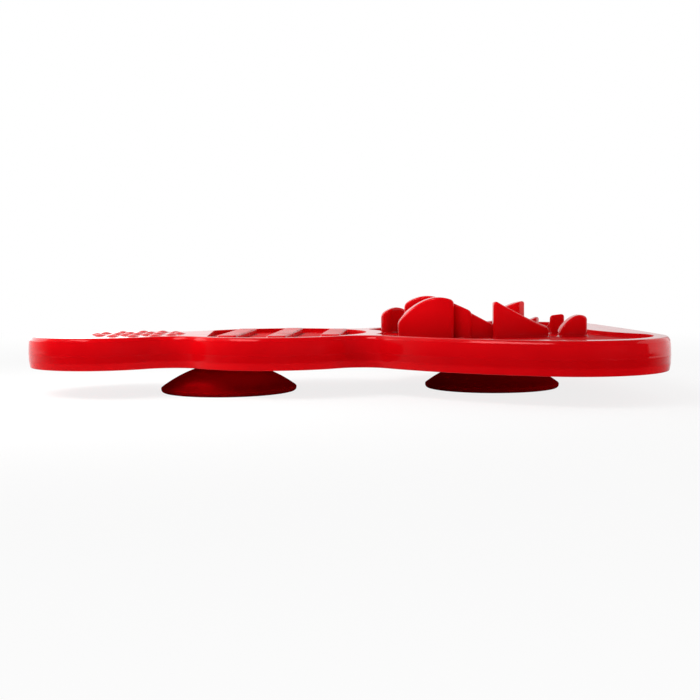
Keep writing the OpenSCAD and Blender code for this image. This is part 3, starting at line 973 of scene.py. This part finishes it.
class LICKTOY_OT_bars(Operator):
    """Builds the slanted bars of the middle bed, each cut to the bed's circle"""

    bl_idname = "licktoy.bars"
    bl_label = "Slanted bars"

    # Points along a bar, and steps round a corner of its section
    BAR_POINTS, CORNER_STEPS = 140, 5
    # Length over which an end is rounded off, and the least share of the section left there
    END_ROUNDING, END_LEAST = 2.8 * MM, 0.12

    def execute(self, context):
        mat, texture = context.scene.lick_mat, context.scene.lick_texture
        floor = mat.underside + mat.thick - mat.bed_depth
        middle = (mat.middle_at - 0.5) * mat.long
        tree = PieceNodes("slanted_bars", {
            "Count": ("Int", texture.bar_count),
            "Pitch": ("Float", texture.bar_pitch),
            "Shift": ("Float", texture.bar_shift),
            "Width": ("Float", texture.bar_w),
            "Height": ("Float", mat.bed_depth + texture.bar_proud),
            "Lean": ("Float", texture.bar_lean),
            "Reach": ("Float", mat.middle_r - mat.middle_lip - texture.bar_channel),
            "Rounding": ("Float", texture.bar_edge),
            "Place": ("Vector", (middle, 0.0, floor)),
        })
        bars = self.lay_out(tree, tree.given)
        piece = tree.run("lick_mat_bars", bars, finish_of("satin_bar_rubber"))
        settle(piece, "mat", "mat_rubber")
        return {"FINISHED"}

    def lay_out(self, t, given):
        """Bars swept along lines whose ends lie on the bed's circle."""
        sine, cosine = t.math("SINE", given["Lean"]), t.math("COSINE", given["Lean"])
        last = t.math("SUBTRACT", given["Count"], 1.0)
        index = t.node("GeometryNodeInputIndex")
        offset = t.math("SUBTRACT", index, t.math("MULTIPLY", last, 0.5))
        x = t.math("ADD", t.math("MULTIPLY", offset, given["Pitch"]), given["Shift"])
        across = t.math("MULTIPLY", x, cosine)
        shift = t.math("MULTIPLY", x, sine)
        squares = t.math("SUBTRACT", t.math("POWER", given["Reach"], 2.0),
                         t.math("POWER", t.math("ABSOLUTE", across), 2.0))
        whole = t.math("MULTIPLY", t.math("SQRT", squares), 2.0)
        place = t.vector(t.math("SUBTRACT", x, t.math("MULTIPLY", shift, sine)),
                         t.math("MULTIPLY", t.math("MULTIPLY", shift, cosine), -1.0))
        points = t.node("GeometryNodeMeshLine", {"Count": given["Count"]})
        points = t.node("GeometryNodeSetPosition", {"Geometry": points, "Position": place})
        line = t.node("GeometryNodeCurvePrimitiveLine",
                      {"Start": (0.0, -0.5, 0.0), "End": (0.0, 0.5, 0.0)})
        spun = t.vector(z=t.math("MULTIPLY", given["Lean"], -1.0))
        lines = t.node("GeometryNodeInstanceOnPoints", {
            "Points": points, "Instance": line, "Rotation": spun,
            "Scale": t.vector(1.0, whole, 1.0),
        })
        lines = t.node("GeometryNodeRealizeInstances", {"Geometry": lines})
        lines = t.node("GeometryNodeResampleCurve", {"Curve": lines, "Count": self.BAR_POINTS})
        section = t.node("GeometryNodeCurvePrimitiveQuadrilateral", {
            "Width": given["Width"], "Height": t.math("MULTIPLY", given["Height"], 2.0),
        })
        section = t.node("GeometryNodeFilletCurve", {
            "Curve": section, "Count": self.CORNER_STEPS, "Radius": given["Rounding"],
            "Limit Radius": True,
        }, mode="POLY")
        bars = t.node("GeometryNodeCurveToMesh", {
            "Curve": lines, "Profile Curve": section, "Scale": self.taper(t), "Fill Caps": True,
        })
        return t.node("GeometryNodeTransform", {"Geometry": bars, "Translation": given["Place"]})

    def taper(self, t):
        """Scale of the section along a bar, rounded off over its last few millimetres."""
        here = t.add("GeometryNodeSplineParameter").outputs["Length"]
        whole = t.add("GeometryNodeSplineLength").outputs["Length"]
        to_end = t.math("MINIMUM", here, t.math("SUBTRACT", whole, here))
        near = t.math("MINIMUM", t.math("DIVIDE", to_end, self.END_ROUNDING), 1.0)
        rest = t.math("SUBTRACT", 1.0, near)
        arch = t.math("SQRT", t.math("SUBTRACT", 1.0, t.math("MULTIPLY", rest, rest)))
        return t.math("MAXIMUM", arch, self.END_LEAST)


class LICKTOY_OT_nubs(Operator):
    """Builds the rings of nubs between the neck lobe and the middle bed"""

    bl_idname = "licktoy.nubs"
    bl_label = "Neck nubs"

    # How far the nubs' feet are sunk into the mat, and nubs in each ring round the middle one
    SUNK, RING_COUNTS = 0.03 * MM, (6, 12)
    # Sides and steps of a nub, share of its foot in its tip, and how softly its dome runs out
    SIDES, STEPS, TIP, SOFTNESS = 28, 9, 0.04, 1.4

    def execute(self, context):
        mat, texture = context.scene.lick_mat, context.scene.lick_texture
        tree = PieceNodes("neck_nubs", {
            "Pitch": ("Float", texture.nub_pitch),
            "Width": ("Float", texture.nub_w),
            "Height": ("Float", texture.nub_h),
            "Place": ("Vector", (mat.neck_r - mat.long / 2 + texture.nub_shift, 0.0,
                                 mat.underside + mat.thick - self.SUNK)),
        })
        nubs = self.lay_out(tree, tree.given)
        piece = tree.run("lick_mat_nubs", nubs, finish_of("glossy_mat_rubber"))
        settle(piece, "mat", "mat_rubber")
        return {"FINISHED"}

    def lay_out(self, t, given):
        """A middle nub with rings of more round it."""
        middle = t.node("GeometryNodeMeshLine", {"Count": 1})
        rings = t.add("GeometryNodeJoinGeometry", {"Geometry": middle})
        for number, count in enumerate(self.RING_COUNTS, 1):
            ring = t.node("GeometryNodeMeshCircle", {
                "Vertices": count, "Radius": t.math("MULTIPLY", given["Pitch"], float(number)),
            })
            t.plug(rings, {"Geometry": ring})
        nubs = t.node("GeometryNodeInstanceOnPoints", {
            "Points": rings.outputs["Geometry"], "Instance": self.nub(t, given),
        })
        nubs = t.node("GeometryNodeRealizeInstances", {"Geometry": nubs})
        return t.node("GeometryNodeTransform", {"Geometry": nubs, "Translation": given["Place"]})

    def nub(self, t, given):
        """One nub: a soft dome whose foot runs out level."""
        foot = t.math("MULTIPLY", given["Width"], 0.5)
        cone = t.node("GeometryNodeMeshCone", {
            "Vertices": self.SIDES, "Side Segments": self.STEPS, "Fill Segments": 1,
            "Radius Top": t.math("MULTIPLY", foot, self.TIP), "Radius Bottom": foot, "Depth": MM,
        }, fill_type="TRIANGLE_FAN")
        apart = t.add("ShaderNodeSeparateXYZ", {0: t.node("GeometryNodeInputPosition")})
        x, y = apart.outputs["X"], apart.outputs["Y"]
        squares = t.math("ADD", t.math("MULTIPLY", x, x), t.math("MULTIPLY", y, y))
        reach = t.math("DIVIDE", squares, t.math("MULTIPLY", foot, foot))
        left = t.math("MAXIMUM", t.math("SUBTRACT", 1.0, reach), 0.0)
        lift = t.math("MULTIPLY", t.math("POWER", left, self.SOFTNESS), given["Height"])
        raised = t.vector(x, y, lift)
        return t.node("GeometryNodeSetPosition", {"Geometry": cone, "Position": raised})


class LICKTOY_OT_cups(Operator):
    """Builds the two plug-in suction cups as turned shapes with rounded lips"""

    bl_idname = "licktoy.cups"
    bl_label = "Suction cups"

    # Points round a cup, steps along each dome and steps round an eased corner
    AROUND, DOME_STEPS, EASE_STEPS = 128, 22, 5
    # Bulge of the outer and the inner dome in millimetres, and how far it moves a point out and up
    OUTER_BULGE, INNER_BULGE = 0.7, 0.9
    BULGE_OUT, BULGE_UP = 0.45, 0.9
    # Chamfers, lower corners of the lip and start of the hollow, in widths of the lip
    CHAMFER, LIP_SIDE, LIP_FOOT, HOLLOW_FOOT = 0.8, 0.1, 0.6, 1.6
    # Height of the lip's lower corner in millimetres, and share of the top where the roof is level
    LIP_SIDE_H, LEVEL_ROOF = 0.5, 1 / 4.75
    # Most of a side that an eased corner takes up
    EASE_MOST = 0.45

    def execute(self, context):
        cup = context.scene.lick_cup
        profile = self.profile(cup)
        for node, body in CUP_BODIES.items():
            low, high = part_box(node)
            shell = self.turned(profile, Vector(((low.x + high.x) / 2 / MM, 0)))
            piece = shell.piece(node + "_rubber", finish_of("dark_cup_rubber"))
            settle(piece, body, "cup_rubber", node)
        return {"FINISHED"}

    def dome(self, inner, outer, bulge):
        """Points from one place in the section to another, bulging up and out."""
        for i in range(self.DOME_STEPS + 1):
            s = i / self.DOME_STEPS
            b = bulge * 4 * s * (1 - s)
            yield (inner[0] + (outer[0] - inner[0]) * s + b * self.BULGE_OUT,
                   inner[1] + (outer[1] - inner[1]) * s + b * self.BULGE_UP)

    def profile(self, cup):
        """Half section from the top of the button round to the middle of the hollow.

        A corner's third number is the length of side that its rounding takes up.
        """
        lip_r, top_r, seat = cup.wide / MM / 2, cup.top_w / MM / 2, cup.shoulder / MM
        stem, button = cup.stem_w / MM / 2, cup.button_w / MM / 2
        low = cup.button_low / MM
        high = low + cup.button_t / MM
        lip_w, lip_h = cup.lip_w / MM, cup.lip_h / MM
        edge = self.CHAMFER * lip_w
        crown, hollow_r = seat - cup.crown_t / MM, lip_r - self.HOLLOW_FOOT * lip_w
        outer = list(self.dome((top_r, seat - edge), (lip_r, lip_h), self.OUTER_BULGE))
        inner = list(self.dome((hollow_r, 0), (top_r * self.LEVEL_ROOF, crown), self.INNER_BULGE))
        plug = [(0, high), (button - edge, high, 0.3), (button, high - edge, 0.3),
                (button, low, 0.25), (stem, low, 0.25), (stem, seat, 0.2)]
        rim = [(lip_r, lip_h, 0.4), (lip_r - self.LIP_SIDE * lip_w, self.LIP_SIDE_H, 0.4),
               (lip_r - self.LIP_FOOT * lip_w, 0, 0.35)]
        shoulder = [(top_r - edge, seat, 0.3)]
        hollow = [(hollow_r, 0, 0.3)] + inner[1:]
        return self.eased(plug + shoulder + outer[:-1] + rim + hollow + [(0, crown)])

    def eased(self, corners):
        """The section with each corner that has a third number rounded off."""
        points = []
        for i, corner in enumerate(corners):
            here = Vector(corner[:2])
            if len(corner) < 3:
                points.append(here)
                continue
            back = Vector(corners[i - 1][:2]) - here
            ahead = Vector(corners[i + 1][:2]) - here
            reach = min(corner[2], self.EASE_MOST * back.length, self.EASE_MOST * ahead.length)
            start, end = here + reach * back.normalized(), here + reach * ahead.normalized()
            for s in (i / self.EASE_STEPS for i in range(self.EASE_STEPS + 1)):
                points.append((1 - s)**2 * start + 2 * s * (1 - s) * here + s**2 * end)
        return points

    def turned(self, profile, centre):
        """A closed shell from a half section turned about an upright line."""
        shell = Shell()
        rings = [shell.ring(circle_loop(centre, p.x, self.AROUND), p.y) for p in profile[1:-1]]
        shell.stack(rings)
        for ring, tip in ((rings[0], profile[0]), (rings[-1], profile[-1])):
            middle = shell.ring([centre], tip.y)[0]
            for i in range(self.AROUND):
                shell.faces.append((ring[i], ring[(i + 1) % self.AROUND], middle))
        return shell


class LICKTOY_OT_stage(Operator):
    """Sets up the camera, the floor, the lamps and the even white surround"""

    bl_idname = "licktoy.stage"
    bl_label = "Stage"

    # Width of the camera's sensor in millimetres, and the nearest and farthest it sees in metres
    SENSOR, CLIP = 36.0, (0.01, 50.0)
    # Low and high corner of the floor in plan, and its grey
    FLOOR_BOX = (-0.9, -0.45, 0.9, 1.6)
    FLOOR_GREY = (0.86, 0.86, 0.86, 1)
    # Distances from the middle between which the floor's shadow fades, and places along Y between
    # which reflections see the floor turn from dark to white
    SHADOW_REACH = (0.13, 0.45)
    FLOOR_MIRRORED = (-0.10, 0.10)
    # Direction of the white backdrop, how squarely reflections face it, and what they see for that
    BACKDROP = (-0.35, 0.94, 0.0)
    BACKDROP_FACING, BACKDROP_LEVELS = (0.1, 1.0), (0.05, 1)
    WHITE = (1, 1, 1, 1)
    # Name, place, aim, width, height, power and colour of each soft lamp
    LAMPS = (
        ("left_softbox", (-0.25, -0.05, 0.21), (-0.085, -0.02, 0.015),
         0.2, 0.2, 0.13, (1, 0.99, 0.98)),
        ("fill_softbox", (0.38, -0.55, 0.05), (0, 0, 0.015), 0.5, 0.09, 1.2, (1, 0.99, 0.98)),
        ("key_softbox", (-0.40, -0.30, 0.62), (0, 0, 0.015), 0.36, 0.14, 1.1, (1, 0.98, 0.97)),
        ("back_left_softbox", (-0.72, 0.50, 0.34), (-0.05, 0, 0.015), 0.7, 0.5, 2.0, (1, 1, 1)),
        ("back_right_softbox", (0.85, 0.28, 0.26), (0.05, 0, 0.015),
         1.0, 0.8, 2.4, (1, 0.98, 0.98)),
        ("backdrop_softbox", (-0.42, 0.95, 0.12), (-0.05, 0, 0.02), 0.5, 0.24, 0.53, (1, 1, 1)),
    )
    # Lamps that light the toy without being mirrored in it, and spread of each narrow beam
    MATT_LAMPS = ("left_softbox", "fill_softbox")
    BEAMS = {"left_softbox": math.radians(50)}

    def execute(self, context):
        scene, stage = context.scene, context.scene.lick_stage
        scene.view_settings.view_transform = "Standard"
        self.camera(scene, stage)
        self.floor(stage)
        self.surround(scene, stage)
        for lamp in self.LAMPS:
            self.lamp(scene, *lamp)
        return {"FINISHED"}

    def camera(self, scene, stage):
        """The camera at the photograph's angle."""
        data = bpy.data.cameras.new("camera")
        data.lens, data.sensor_width = stage.lens, self.SENSOR
        data.clip_start, data.clip_end = self.CLIP
        eye = bpy.data.objects.new("camera", data)
        turned = (Matrix.Rotation(stage.yaw, 3, "Z") @ Matrix.Rotation(stage.pitch, 3, "X")
                  @ Matrix.Rotation(stage.roll, 3, "Y") @ Matrix.Rotation(math.pi / 2, 3, "X"))
        eye.matrix_world = Matrix.Translation(Vector(stage.eye)) @ turned.to_4x4()
        scene.collection.objects.link(eye)
        scene.camera = eye

    def floor(self, stage):
        """A plain pale floor that keeps a soft shadow near the toy."""
        x0, y0, x1, y1 = self.FLOOR_BOX
        mesh = bpy.data.meshes.new("floor")
        mesh.from_pydata([(x0, y0, 0), (x1, y0, 0), (x1, y1, 0), (x0, y1, 0)], [], [(0, 1, 2, 3)])
        paint = StageNodes(bpy.data.materials.new("white_floor"))
        paint.owner.cycles.emission_sampling = "NONE"
        place = paint.add("ShaderNodeTexCoord").outputs["Object"]
        reach = paint.add("ShaderNodeVectorMath", {0: place}, operation="LENGTH").outputs["Value"]
        white = paint.faded(reach, *self.SHADOW_REACH, 1 - stage.floor_shadow, 1)
        matt = paint.node("ShaderNodeBsdfDiffuse", {"Color": self.FLOOR_GREY})
        glow = paint.node("ShaderNodeEmission")
        seen = paint.node("ShaderNodeMixShader", {0: white, 1: matt, 2: glow})
        apart = paint.add("ShaderNodeSeparateXYZ", {0: place}).outputs
        behind = paint.faded(apart["Y"], *self.FLOOR_MIRRORED, 0, 1)
        mirrored = paint.node("ShaderNodeEmission", {"Strength": behind})
        paint.by_ray(matt, seen, mirrored)
        mesh.materials.append(paint.owner)
        placed("floor", mesh)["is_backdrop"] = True

    def surround(self, scene, stage):
        """White to the camera, a white backdrop to reflections and even light to the rest."""
        paint = StageNodes(bpy.data.worlds.new("white_surround"))
        scene.world = paint.owner
        scene.world.cycles.sampling_method = "NONE"
        place = paint.add("ShaderNodeTexCoord").outputs["Generated"]
        facing = paint.add("ShaderNodeVectorMath", {0: place, 1: self.BACKDROP},
                           operation="DOT_PRODUCT").outputs["Value"]
        level = paint.faded(facing, *self.BACKDROP_FACING, *self.BACKDROP_LEVELS)
        looks = [paint.node("ShaderNodeBackground", {"Color": self.WHITE, "Strength": strength})
                 for strength in (stage.ambient, 1, level)]
        paint.by_ray(*looks)

    def lamp(self, scene, name, place, aim, wide, high, power, tint):
        """A rectangular soft lamp aimed at a point."""
        data = bpy.data.lights.new(name, "AREA")
        data.shape, data.size, data.size_y = "RECTANGLE", wide, high
        data.energy, data.color = power, tint
        data.spread = self.BEAMS.get(name, math.pi)
        lamp = bpy.data.objects.new(name, data)
        look = Vector(aim) - Vector(place)
        lamp.matrix_world = (Matrix.Translation(Vector(place))
                             @ look.to_track_quat("-Z", "Y").to_matrix().to_4x4())
        lamp.visible_camera = False
        lamp.visible_glossy = name not in self.MATT_LAMPS
        scene.collection.objects.link(lamp)


class LICKTOY_PT_tools(Panel):
    """Lists the builders of the lick toy"""

    bl_idname = "LICKTOY_PT_tools"
    bl_label = "Lick toy"
    bl_space_type = "VIEW_3D"
    bl_region_type = "UI"
    bl_category = "Lick toy"

    def draw(self, context):
        for step in STEPS:
            self.layout.operator(step.bl_idname)


STEPS = (LICKTOY_OT_mat, LICKTOY_OT_fins, LICKTOY_OT_bars, LICKTOY_OT_nubs, LICKTOY_OT_cups,
         LICKTOY_OT_stage)
SETTINGS = {
    "lick_mat": LickMatSizes,
    "lick_fins": LickFinSizes,
    "lick_texture": LickTextureSizes,
    "lick_cup": LickCupSizes,
    "lick_finish": LickFinish,
    "lick_stage": LickStage,
}


def register():
    for kind in (*SETTINGS.values(), *STEPS, LICKTOY_PT_tools):
        bpy.utils.register_class(kind)
    for name, kind in SETTINGS.items():
        setattr(bpy.types.Scene, name, PointerProperty(type=kind))


def unregister():
    for name in SETTINGS:
        delattr(bpy.types.Scene, name)
    for kind in (LICKTOY_PT_tools, *reversed(STEPS), *reversed(SETTINGS.values())):
        bpy.utils.unregister_class(kind)


def main():
    register()
    bpy.ops.licktoy.mat()
    bpy.ops.licktoy.fins()
    bpy.ops.licktoy.bars()
    bpy.ops.licktoy.nubs()
    bpy.ops.licktoy.cups()
    bpy.ops.licktoy.stage()
    boxes = {"cad": CAD_BOX, "visual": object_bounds()}
    {key: [list(corner) for corner in box] for key, box in boxes.items()}


if __name__ == "__main__":
    main()
